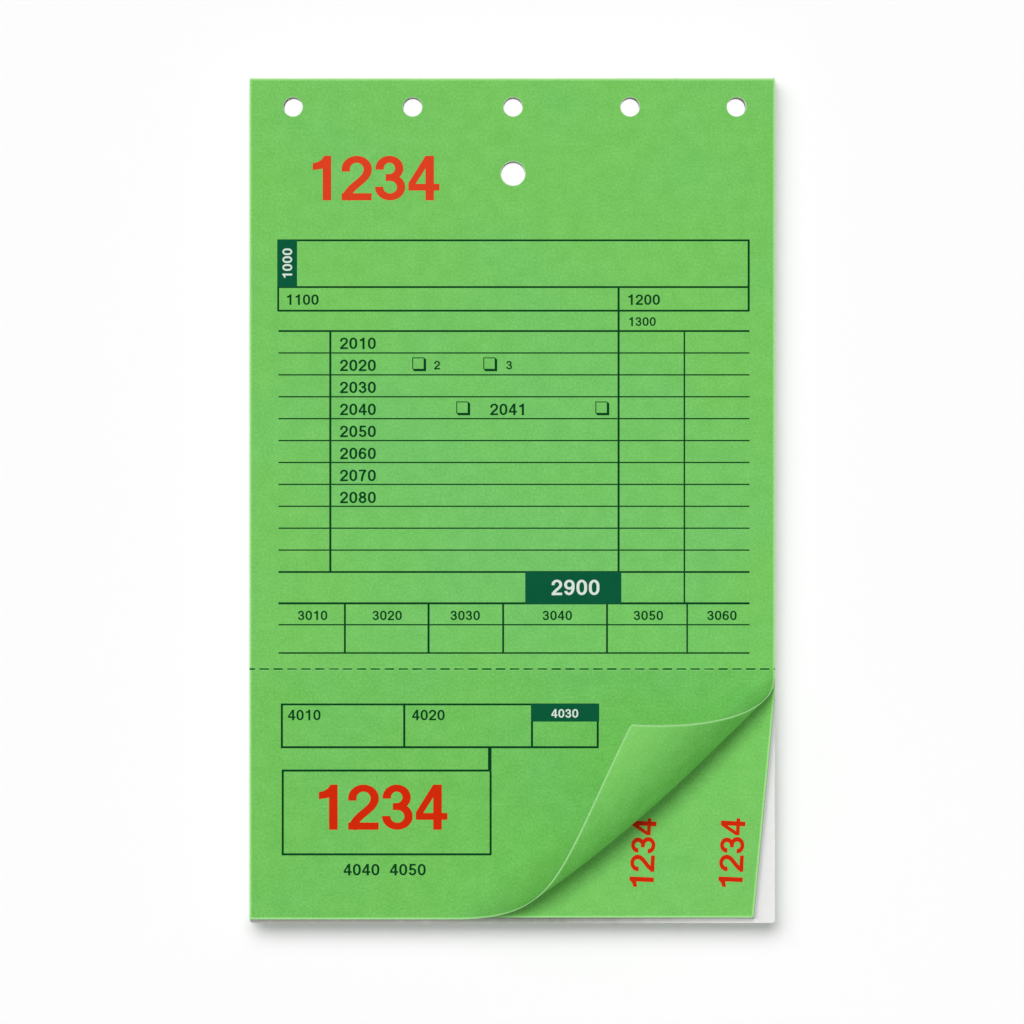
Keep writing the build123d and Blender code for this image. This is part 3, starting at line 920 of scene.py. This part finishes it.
class RECEIPT_OT_roll_stub(PadOperator, bpy.types.Operator):
    """Model the first claim stub, with its corner rolled up and over"""

    bl_idname = "receipt_pad.roll_stub"
    bl_label = "Roll the claim stub"

    def execute(self, context):
        roll = context.scene.receipt_pad.roll
        paper = context.scene.receipt_pad.paper
        middle_z = TOP_HIGH.z - PAPER_THICKNESS / 2
        fold_along = Vector((cos(roll.fold_angle), sin(roll.fold_angle), 0))
        fold_out = Vector((sin(roll.fold_angle), -cos(roll.fold_angle), 0))
        fold_start = Vector((HALF_WIDTH, TEAR_Y - roll.start, middle_z))
        fold_length = (fold_start.y - FOOT_Y) / sin(roll.fold_angle)
        narrowing = tan(roll.fold_angle) + 1 / tan(roll.fold_angle)
        tip_distance = (fold_length - roll.tip_width) / narrowing

        bpy.ops.object.select_all(action="DESELECT")
        bpy.ops.mesh.primitive_plane_add(size=1)
        stub = bpy.context.object
        stub.name = "rolled_claim_stub"
        size = Matrix.Diagonal((2 * HALF_WIDTH, TEAR_Y - FOOT_Y, 1, 1))
        stub.data.transform(Matrix.Translation((0, (TEAR_Y + FOOT_Y) / 2, middle_z)) @ size)

        def cut(point, normal, **clear):
            bpy.ops.mesh.select_all(action="SELECT")
            bpy.ops.mesh.bisect(plane_co=point, plane_no=normal, threshold=SAME_PLACE, **clear)

        # The flat part ends a little before the fold, so that its shading stays flat
        bpy.ops.object.mode_set(mode="EDIT")
        cut(fold_start - fold_out * FLAT_MARGIN, fold_out)
        cut(fold_start + fold_out * tip_distance, fold_out, clear_outer=True)
        bpy.ops.object.mode_set(mode="OBJECT")
        for face in stub.data.polygons:
            face.select = (face.center - fold_start).dot(fold_out) < -FLAT_MARGIN
        bpy.ops.object.mode_set(mode="EDIT")
        bpy.ops.mesh.select_mode(type="FACE")
        bpy.ops.mesh.hide()
        for ring_number in range(roll.rings):
            distance = tip_distance * (ring_number / roll.rings) ** RING_CROWDING
            cut(fold_start + fold_out * distance, fold_out)
        for rib in range(1, roll.ribs):
            cut(fold_start - fold_along * fold_length * rib / roll.ribs, fold_along)
        bpy.ops.mesh.reveal()
        bpy.ops.mesh.select_all(action="SELECT")
        bpy.ops.mesh.remove_doubles(threshold=CUT_WELD)
        bpy.ops.object.mode_set(mode="OBJECT")

        mesh = stub.data
        face_colours = (paper.stub_colour, paper.stub_cloud_colour)
        # The underside is painted paler, as if lit more, and shaded along the bend
        back_highlight_colours = (paper.back_highlight_colour, paper.back_highlight_cloud_colour)
        bend = (fold_start, fold_out)
        mesh.materials.append(paper_finish("green_stub_paper", face_colours, paper, STUB_UV))
        mesh.materials.append(paper_finish("green_stub_back", back_highlight_colours, paper, STUB_UV, shadowed=bend))
        mesh.uv_layers.remove(mesh.uv_layers[0])
        flat = mesh.uv_layers.new(name=STUB_UV)
        for loop in mesh.loops:
            flat.data[loop.index].uv = mesh.vertices[loop.vertex_index].co.xy
        for vertex in mesh.vertices:
            distance = (vertex.co - fold_start).dot(fold_out)
            if distance > 0:
                share = (fold_start - vertex.co).dot(fold_along) / fold_length
                out, rise = self.walk(roll, share, distance)
                vertex.co = fold_start - fold_along * share * fold_length + fold_out * out
                vertex.co.z += rise

        apply_modifier(
            stub,
            "SOLIDIFY",
            thickness=PAPER_THICKNESS,
            offset=0.0,
            use_even_offset=True,
            use_quality_normals=True,
            material_offset=1,
        )
        # The stub's edge reaches into the slits and closes them to a hair line
        tongue_levels = (TOP_LOW.z + HAIR_LINE, TOP_HIGH.z - HAIR_LINE)
        unite(stub, slab("slit_tongues", self.tongues(paper), *tongue_levels))
        for vertex in mesh.vertices:
            vertex.co.x = min(vertex.co.x, HALF_WIDTH)
        for loop in mesh.loops:
            place = mesh.vertices[loop.vertex_index].co
            if place.y > TEAR_Y - paper.slit_width:
                mesh.uv_layers[STUB_UV].data[loop.index].uv = place.xy
        pick(stub)
        bpy.ops.object.shade_smooth_by_angle(angle=SMOOTH_ANGLE)
        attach(stub, "claim_stub_01")
        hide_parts("claim_stub_01")
        return {"FINISHED"}

    def walk(self, roll, share, distance):
        """How far out and up a point lies, walking over the roll from the fold line."""
        rest = 1 - share
        ends = roll.radius_right * rest**2 + roll.radius_foot * share**2
        radius = ends + 2 * roll.radius_middle * share * rest
        last_turn = roll.turn_right * rest + roll.turn_foot * share
        step = distance / WALK_STEPS
        turned = out = rise = 0.0
        for walked in range(WALK_STEPS):
            crease = roll.crease_sharpness * rest**2 * exp(-(walked + 0.5) * step / roll.crease_length)
            easing = min((last_turn - turned) / roll.easing, 1)
            bend = step * easing * (1 + crease) / radius
            out += step * cos(turned + bend / 2)
            rise += step * sin(turned + bend / 2)
            turned += bend
        return out, rise

    def tongues(self, paper):
        """Outlines of the tongues that reach from the stub's edge into the slits."""
        outlines = []
        low, high = TEAR_Y - paper.slit_width, TEAR_Y + paper.slit_width / 2 - HAIR_LINE
        reach = paper.slit_length / 2 - HAIR_LINE
        last = round(HALF_WIDTH / paper.slit_pitch)
        for k in range(-last, last + 1):
            middle = k * paper.slit_pitch + paper.slit_offset
            left, right = max(middle - reach, -HALF_WIDTH), min(middle + reach, HALF_WIDTH)
            if right > left:
                outlines.append([(left, low), (right, low), (right, high), (left, high)])
        return outlines


class RECEIPT_OT_print_forms(PadOperator, bpy.types.Operator):
    """Print the rules, panels, check boxes and field numbers on every customer copy"""

    bl_idname = "receipt_pad.print_forms"
    bl_label = "Print the forms"

    def execute(self, context):
        ink = context.scene.receipt_pad.ink
        levels = (TOP_HIGH.z - ink.ink_depth, TOP_HIGH.z + ink.ink_height)
        panel_levels = (levels[0], levels[1] + ink.ink_height * PANEL_RISE)
        over_levels = (levels[1], levels[1] + ink.ink_height * PANEL_NUMBER_RISE)
        line_ink = ink_finish("green_line_ink", ink.line_colour, LINE_SPREAD)
        panel_ink = ink_finish("green_panel_ink", ink.panel_colour, PANEL_SPREAD)
        pale_ink = ink_finish("pale_panel_number", ink.panel_number_colour, PALE_SPREAD)
        cast = cast_numerals(FIELD_STEPS)

        def fields(left_fields, middled_fields):
            pieces = []
            for text, x, y, height in left_fields:
                pieces += set_number(cast, text, (x, y), height, levels)
            for text, x, y, height in middled_fields:
                pieces += set_number(cast, text, (x, y), height, levels, centred=True)
            return pieces

        def panel_number(text, x, y, height, turn=0.0):
            return set_number(cast, text, (x, y), height, over_levels, turn=turn, centred=True)

        ruling = print_ruling("form_ruling", FORM_LEVEL_RULES, FORM_UPRIGHT_RULES, CHECK_BOX_PLACES, levels)
        form_lines = join("form_lines_01", [ruling, *fields(FORM_FIELDS, FORM_MIDDLED_FIELDS)])
        form_panels = slab("form_panels_01", [rectangle(*panel) for panel in FORM_PANELS], *panel_levels)
        form_numbers = panel_number(*SIDE_PANEL_NUMBER, turn=pi / 2) + panel_number(*FOOT_PANEL_NUMBER)
        form_numbers = join("form_panel_numbers_01", form_numbers)
        ruling = print_ruling("stub_ruling", STUB_LEVEL_RULES, STUB_UPRIGHT_RULES, [], levels)
        stub_lines = join("stub_lines_01", [ruling, *fields(STUB_FIELDS, STUB_MIDDLED_FIELDS)])
        stub_panels = slab("stub_panels_01", [rectangle(*panel) for panel in STUB_PANELS], *panel_levels)
        stub_numbers = join("stub_panel_numbers_01", panel_number(*STUB_PANEL_NUMBER))
        clear_cast(cast)

        for form, stub, finish in (
            (form_lines, stub_lines, line_ink),
            (form_panels, stub_panels, panel_ink),
            (form_numbers, stub_numbers, pale_ink),
        ):
            for piece, body in ((form, "customer_copy_01"), (stub, "claim_stub_01")):
                dress(piece, finish)
                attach(piece, body)
            for number in LOWER_SETS:
                copy_name = f"customer_copy_{number:02d}"
                drop = Matrix.Translation((0, 0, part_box(copy_name)[1].z - TOP_HIGH.z))
                copies = [copy_of(form, drop), copy_of(stub, drop)]
                for copy in copies:
                    copy.parent = None
                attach(join(form.name.replace("01", f"{number:02d}"), copies), copy_name)
        return {"FINISHED"}


class RECEIPT_OT_number_sets(PadOperator, bpy.types.Operator):
    """Stamp the red serial number on each form, on its stub and twice on its tag copy"""

    bl_idname = "receipt_pad.number_sets"
    bl_label = "Number the sets"

    def execute(self, context):
        ink = context.scene.receipt_pad.ink
        head_red = ink_finish("red_head_number", ink.head_number_colour, RED_SPREAD)
        stub_red = ink_finish("red_stub_number", ink.stub_number_colour, RED_SPREAD)
        cast = cast_numerals(SERIAL_STEPS)
        tag_cast = cast_numerals(TAG_STEPS)
        serial = {"pitch": SERIAL_PITCH, "centred": True}
        upwards = {"pitch": TAG_NUMBER_PITCH, "turn": TAG_TURN, "centred": True}
        for number in range(1, SET_COUNT + 1):
            text = str(ink.first_number + number - 1)
            copy_name = f"customer_copy_{number:02d}"
            tag_name = f"tag_copy_{number:02d}"
            stub_body = "claim_stub_01" if number == 1 else copy_name
            copy_levels = self.levels(ink, copy_name)
            tag_levels = self.levels(ink, tag_name)
            head = set_number(cast, text, HEAD_NUMBER_PLACE, HEAD_NUMBER_HEIGHT, copy_levels, **serial)
            stub = set_number(cast, text, STUB_NUMBER_PLACE, STUB_NUMBER_HEIGHT, copy_levels, **serial)
            tags = []
            for k in range(TAG_COUNT):
                place = (TAG_RIGHT - TAG_SPACING * k, TAG_DOWN)
                tags += set_number(tag_cast, text, place, TAG_NUMBER_HEIGHT, tag_levels, **upwards)
            for name, pieces, finish, body in (
                (f"head_number_{number:02d}", head, head_red, copy_name),
                (f"stub_number_{number:02d}", stub, stub_red, stub_body),
                (f"tag_numbers_{number:02d}", tags, stub_red, tag_name),
            ):
                piece = join(name, pieces)
                dress(piece, finish)
                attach(piece, body)
        clear_cast(cast)
        clear_cast(tag_cast)
        return {"FINISHED"}

    def levels(self, ink, node):
        """Foot and top of the ink on a leaf."""
        surface_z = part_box(node)[1].z
        return surface_z - ink.ink_depth, surface_z + ink.ink_height


# Lamps: how far each leans per unit of height, and its spread in degrees
OVERHEAD = (0.0, 0.0)
KEY_LEAN, KEY_SPREAD = (-0.19, 0.26), 20
STUB_FILL_LEAN = (0.70, -0.96)
DOME_SPREAD, LEAF_FILL_SPREAD = 170, 10
CARD_HEAD_LEAN, CARD_HEAD_SPREAD = (-0.3, 5.5), 8
CARD_SIDE_LEAN, CARD_SIDE_SPREAD = (-6.0, 2.0), 18
FLOOR_HEAD_LEAN, FLOOR_CORNER_LEAN, FLOOR_SPREAD = (0.0, 0.85), (-0.62, 0.70), 45
FLOOR_OVERHEAD_SPREAD = 4

FLOOR_WIDTH, FLOOR_DROP = 6, 0.02 * MM
# Painted white glow seen in a punched hole, with painted shade at its top: how the glow falls off about the
# hole's edge, and how far it lies towards the foot, as a share of what the hole's radius has over this least
# one
WHITE_REACH = (-0.22 * MM, 0.30 * MM)
UNSHADED_RADIUS, SHADE_SHARE = 2.0 * MM, 0.13
WHITE = (1, 1, 1, 1)


class RECEIPT_OT_set_stage(PadOperator, bpy.types.Operator):
    """Set the floor, the soft light and the camera straight above the pad"""

    bl_idname = "receipt_pad.set_stage"
    bl_label = "Set the stage"

    def execute(self, context):
        stage = context.scene.receipt_pad.stage
        context.scene.view_settings.view_transform = "Standard"
        floor = [self.floor(stage)]
        self.world(context.scene, stage)
        card = [frame["nodes"]["writing_shield"]]
        stub = [bpy.data.objects["rolled_claim_stub"]]
        leaves = [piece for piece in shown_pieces() if piece not in card + stub]
        flat_pieces = card + leaves
        rest = 1 - stage.ambient
        key = rest - stage.dome_share - stage.fill_share
        stub_key = rest - stage.stub_dome_share - stage.fill_share
        floor_corner = stage.floor_corner_share
        card_overhead = rest - stage.card_head_share - stage.card_side_share
        floor_overhead = rest - stage.floor_head_share - floor_corner
        # Name, share of the light, lean, spread, what it lights and, where only some block it, which
        for lamp in (
            ("dome_lamp", stage.dome_share, OVERHEAD, DOME_SPREAD, leaves),
            ("key_lamp", key, KEY_LEAN, KEY_SPREAD, leaves),
            ("overhead_lamp", stage.fill_share, OVERHEAD, LEAF_FILL_SPREAD, leaves, flat_pieces),
            ("stub_dome_lamp", stage.stub_dome_share, OVERHEAD, DOME_SPREAD, stub),
            ("stub_key_lamp", stub_key, KEY_LEAN, KEY_SPREAD, stub),
            ("stub_fill_lamp", stage.fill_share, STUB_FILL_LEAN, KEY_SPREAD, stub, flat_pieces),
            ("card_dome_lamp", card_overhead, OVERHEAD, DOME_SPREAD, card, flat_pieces),
            ("card_head_lamp", stage.card_head_share, CARD_HEAD_LEAN, CARD_HEAD_SPREAD, card, flat_pieces),
            ("card_side_lamp", stage.card_side_share, CARD_SIDE_LEAN, CARD_SIDE_SPREAD, card, flat_pieces),
            ("floor_overhead_lamp", floor_overhead, OVERHEAD, FLOOR_OVERHEAD_SPREAD, floor),
            ("floor_head_lamp", stage.floor_head_share, FLOOR_HEAD_LEAN, FLOOR_SPREAD, floor, flat_pieces),
            ("floor_corner_lamp", floor_corner, FLOOR_CORNER_LEAN, FLOOR_SPREAD, floor, flat_pieces),
        ):
            self.lamp(*lamp)

        place = (stage.view_across, stage.view_middle, TOP_HIGH.z + stage.camera_height)
        bpy.ops.object.camera_add(location=place, rotation=(0, 0, 0))
        camera = bpy.context.object
        camera.name = "camera_above"
        camera.data.lens = camera.data.sensor_width * stage.camera_height / stage.view_width
        context.scene.camera = camera
        return {"FINISHED"}

    def lamp(self, name, share, lean, spread, lit, blocking=None):
        """A soft far lamp that gives its share of the light on level paper.

        It lights some pieces alone, and where it is told what blocks it, nothing else casts its shadow.
        """
        towards = Vector((*lean, 1.0))
        bpy.ops.object.light_add(type="SUN", location=towards)
        lamp = bpy.context.object
        lamp.name = name
        towards.normalize()
        lamp.rotation_euler = towards.to_track_quat("Z", "Y").to_euler()
        lamp.data.energy = share * pi / towards.z
        lamp.data.angle = radians(spread)
        lamp.light_linking.receiver_collection = self.group(name + "_lights", lit)
        if blocking:
            lamp.light_linking.blocker_collection = self.group(name + "_blocked_by", blocking)

    def group(self, name, members):
        collection = bpy.data.collections.new(name)
        for member in members:
            collection.objects.link(member)
        return collection

    def world(self, scene, stage):
        """White as seen by the camera and in reflections, and a low even light otherwise."""
        world = bpy.data.worlds.new("white_surround")
        world.use_nodes = True
        world.node_tree.nodes.clear()
        wire = Wire(world.node_tree)
        rays = wire.node("LightPath")
        seen = rays.most(rays.twin("Is Glossy Ray")).most(rays.twin("Is Transmission Ray"))
        even = wire.node("Background", {}, {"Color": WHITE, "Strength": stage.ambient})
        white = wire.node("Background", {}, {"Color": WHITE, "Strength": 1.0})
        wire.node("MixShader", {}, {0: seen, 1: even, 2: white}).show("World")
        scene.world = world

    def floor(self, stage):
        """A wide pale floor. In a punched hole the camera sees it glow white, with painted shade at the top.
        """
        bpy.ops.object.select_all(action="DESELECT")
        bpy.ops.mesh.primitive_plane_add(size=FLOOR_WIDTH, location=(0, 0, -FLOOR_DROP))
        floor = bpy.context.object
        floor.name = "studio_floor"
        material, place = new_finish("pale_floor")
        lit = 0.0
        for x, y, radius in PUNCHED_HOLES:
            centre = (x, y - (radius - UNSHADED_RADIUS) * SHADE_SHARE, 0.0)
            outwards = place.vector("DISTANCE", centre, "Value") - radius
            lit = outwards.fall(*WHITE_REACH) + lit
        # For the camera the floor glows white in each hole, with painted shade towards the hole's top
        seen = place.node("LightPath") * lit
        matt = place.node("BsdfDiffuse", {}, {"Color": (*stage.floor_colour, 1)})
        white = place.node("Emission", {}, {"Color": WHITE, "Strength": 1.0})
        place.node("MixShader", {}, {0: seen, 1: matt, 2: white}).show()
        floor.data.materials.append(material)
        floor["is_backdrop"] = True
        return floor


OPERATORS = (
    RECEIPT_OT_finish_leaves,
    RECEIPT_OT_roll_stub,
    RECEIPT_OT_print_forms,
    RECEIPT_OT_number_sets,
    RECEIPT_OT_set_stage,
)


class RECEIPT_PT_sidebar(bpy.types.Panel):
    """Lists the pad's operators and settings in the 3D view's sidebar"""

    bl_idname = "RECEIPT_PT_sidebar"
    bl_label = "Receipt pad"
    bl_space_type = "VIEW_3D"
    bl_region_type = "UI"
    bl_category = "Receipt pad"

    def draw(self, context):
        for operator in OPERATORS:
            self.layout.operator(operator.bl_idname)
        settings = context.scene.receipt_pad
        for group in (settings.paper, settings.roll, settings.ink, settings.stage):
            box = self.layout.box()
            for name in group.bl_rna.properties.keys():
                if name not in ("name", "rna_type"):
                    box.prop(group, name)


SETTINGS = (PaperSettings, RollSettings, PrintSettings, StageSettings, ReceiptPadSettings)
CLASSES = (*SETTINGS, *OPERATORS, RECEIPT_PT_sidebar)


def register():
    for cls in CLASSES:
        bpy.utils.register_class(cls)
    bpy.types.Scene.receipt_pad = bpy.props.PointerProperty(type=ReceiptPadSettings)


def unregister():
    del bpy.types.Scene.receipt_pad
    for cls in reversed(CLASSES):
        bpy.utils.unregister_class(cls)


def main():
    register()
    bpy.ops.receipt_pad.finish_leaves()
    bpy.ops.receipt_pad.roll_stub()
    bpy.ops.receipt_pad.print_forms()
    bpy.ops.receipt_pad.number_sets()
    bpy.ops.receipt_pad.set_stage()


if __name__ == "__main__":
    main()
